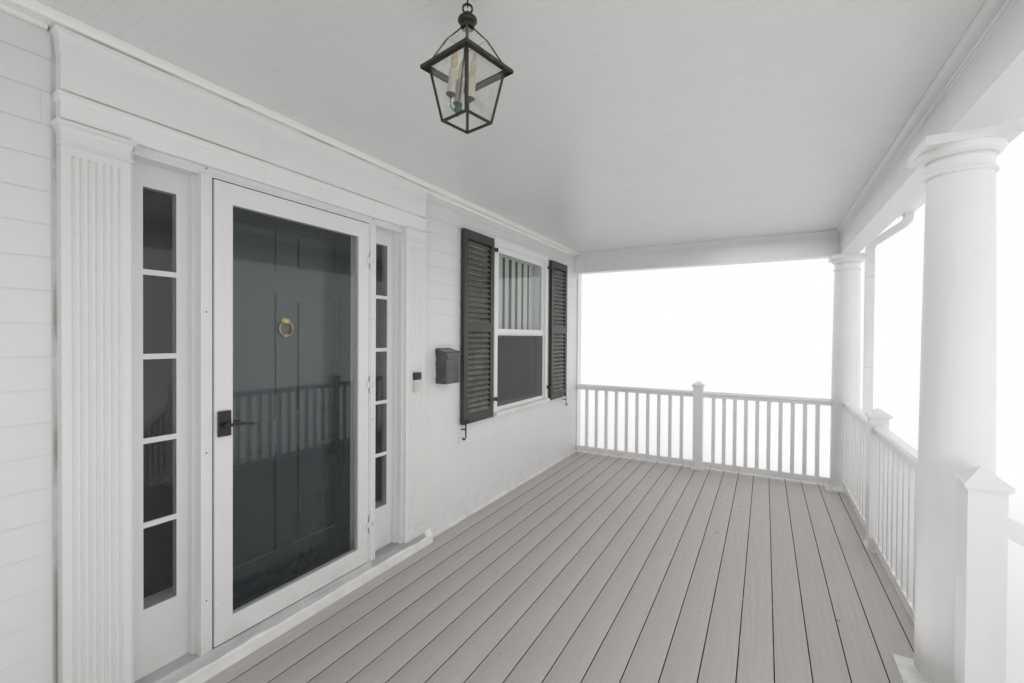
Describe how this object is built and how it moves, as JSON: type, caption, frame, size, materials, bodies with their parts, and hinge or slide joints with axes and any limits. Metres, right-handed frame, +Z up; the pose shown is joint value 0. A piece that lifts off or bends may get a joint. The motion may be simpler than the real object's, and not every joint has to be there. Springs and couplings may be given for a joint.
{
  "type": "front porch",
  "caption": "Raised front porch with round columns, baluster railings, a stair, a flat ceiling and the house wall behind it with a storm door, sidelights and shuttered windows.",
  "frame": {"origin": "underside of the house foundation at ground level, below the middle of the front door and under the middle of the wall's thickness", "axes": "+X along the wall to the right as seen from the street, +Y into the house, +Z up"},
  "size_m": [8.6, 4.071, 4.1908],
  "materials": {
    "siding_white": "painted clapboard, satin",
    "trim_white": "painted, satin",
    "rail_white": "smooth, satin",
    "column_white": "painted, satin",
    "deck_boards": "grained composite, matt",
    "framing": "bare treated timber",
    "masonry": "rough",
    "roofing": "granular, matt",
    "ceiling_white": "painted beadboard, satin",
    "clear_glass": "clear",
    "black_metal": "satin black",
    "dark_bronze": "weathered, dull",
    "door_teal": "painted, gloss",
    "brass": "polished, worn",
    "shutter_black": "painted, satin",
    "mailbox_grey": "satin",
    "gutter_white": "satin",
    "candle_ivory": "waxy"
  },
  "bodies": {
    "root": {"house_foundation": "masonry", "porch_piers": "masonry", "deck_frame": "framing", "deck_joists": "framing", "deck_floor": "deck_boards", "deck_skirt": "trim_white", "stair_stringers": "trim_white", "stair_risers": "trim_white", "stair_treads": "deck_boards", "stair_railings": "rail_white", "rail_posts": "rail_white", "railing_front_left": "rail_white", "railing_front_right": "rail_white", "railing_end_left": "rail_white", "railing_end_right": "rail_white", "columns_corner": "column_white", "columns_stair": "column_white", "front_beam": "trim_white", "end_beam_left": "trim_white", "end_beam_right": "trim_white", "ceiling_boards": "ceiling_white", "ceiling_crown": "trim_white", "roof_slab": "roofing", "roof_ends": "siding_white", "fascia": "trim_white", "gutter": "gutter_white", "downspout": "gutter_white", "wall_left": "siding_white", "wall_right": "siding_white", "wall_over_door": "siding_white", "corner_boards": "trim_white", "threshold": "trim_white", "door_frame": "trim_white", "sidelight_glass": "clear_glass", "pilasters": "trim_white", "entablature": "trim_white", "window_frames": "trim_white", "window_casings": "trim_white", "window_sashes": "trim_white", "window_glass": "clear_glass", "shutters_left": "shutter_black", "shutters_right": "shutter_black", "shutter_hardware": "black_metal", "mailbox": "mailbox_grey", "doorbell": "black_metal", "lantern_hook": "dark_bronze"},
    "storm_door": {"storm_door": "trim_white", "storm_door_glass": "clear_glass", "storm_door_lock": "black_metal"},
    "storm_lever": {"storm_door_lever": "black_metal"},
    "entry_door": {"entry_door": "door_teal", "entry_door_hardware": "brass"},
    "mailbox_lid": {"mailbox_lid": "mailbox_grey"},
    "lantern": {"lantern_chain": "dark_bronze", "lantern_frame": "dark_bronze", "lantern_glass": "clear_glass", "lantern_candles": "candle_ivory"}
  },
  "joints": [
    {"name": "storm_door_hinge", "type": "hinge", "parent": "root", "child": "storm_door", "pos_m": [0.45, -0.134, 1.7], "axis": [0, 0, 1], "range_deg": [0, 100]},
    {"name": "storm_lever_turn", "type": "hinge", "parent": "storm_door", "child": "storm_lever", "pos_m": [-0.402, -0.125, 1.682], "axis": [0, 1, 0], "range_deg": [0, 40], "stiffness_Nm_per_rad": 0.6},
    {"name": "entry_door_hinge", "type": "hinge", "parent": "root", "child": "entry_door", "pos_m": [0.45, 0.089, 1.7], "axis": [0, 0, -1], "range_deg": [0, 95]},
    {"name": "mailbox_lid_hinge", "type": "hinge", "parent": "root", "child": "mailbox_lid", "pos_m": [1.1895, -0.108, 1.99], "axis": [-1, 0, 0], "range_deg": [0, 80]},
    {"name": "lantern_swing", "type": "hinge", "parent": "root", "child": "lantern", "pos_m": [-0.413, -1.44, 3.108], "axis": [1, 0, 0], "range_deg": [-15, 15]}
  ]
}
